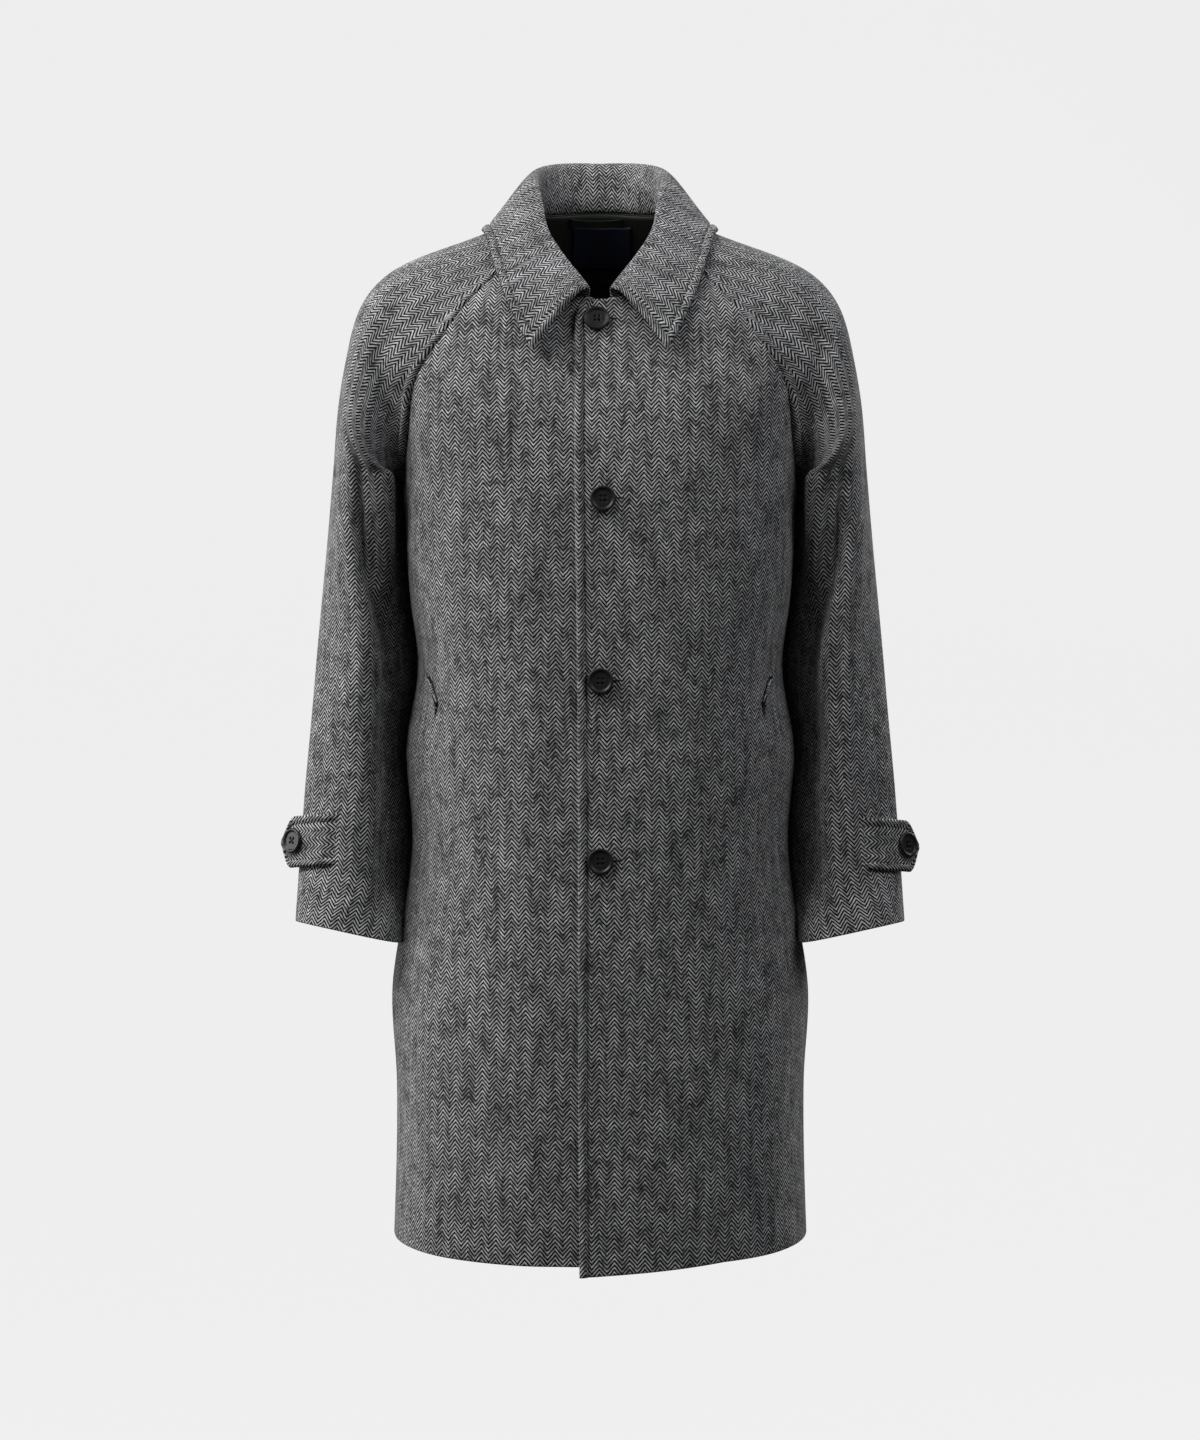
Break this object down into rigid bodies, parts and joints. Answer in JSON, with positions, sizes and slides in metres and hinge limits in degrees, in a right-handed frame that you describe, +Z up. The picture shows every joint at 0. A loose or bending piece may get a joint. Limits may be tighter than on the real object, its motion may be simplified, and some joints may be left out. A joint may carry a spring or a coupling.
{
  "type": "balmacaan coat",
  "caption": "Hollow raglan-sleeved overcoat with a turned-down collar, buttoned front, slanted pocket welts and cuff tabs, held in its worn shape.",
  "frame": {"origin": "where the wearer's shoulders carry the coat, in the middle plane at the base of the neck", "axes": "+Z up, -Y the way the coat faces, +X towards the wearer's left"},
  "size_m": [0.6522, 0.3634, 1.1253],
  "materials": {
    "herringbone_tweed": "rough wool, black and off-white herringbone",
    "dark_lining": "smooth satin weave",
    "navy_label": "plain woven ribbon",
    "charcoal_button": "polished, horn look"
  },
  "bodies": {
    "root": {"front_left": "herringbone_tweed", "front_right": "herringbone_tweed", "back": "herringbone_tweed", "sleeve_front_left": "herringbone_tweed", "sleeve_front_right": "herringbone_tweed", "sleeve_back_left": "herringbone_tweed", "sleeve_back_right": "herringbone_tweed", "collar": "herringbone_tweed", "pocket_welt_left": "herringbone_tweed", "pocket_welt_right": "herringbone_tweed", "cuff_tab_left": "herringbone_tweed", "cuff_tab_right": "herringbone_tweed", "cuff_button_left": "charcoal_button", "cuff_button_right": "charcoal_button", "front_button_1": "charcoal_button", "front_button_2": "charcoal_button", "front_button_3": "charcoal_button", "front_button_4": "charcoal_button", "lining_back": "dark_lining", "hanger_loop": "dark_lining", "neck_label": "navy_label", "size_tab": "navy_label"}
  },
  "joints": []
}
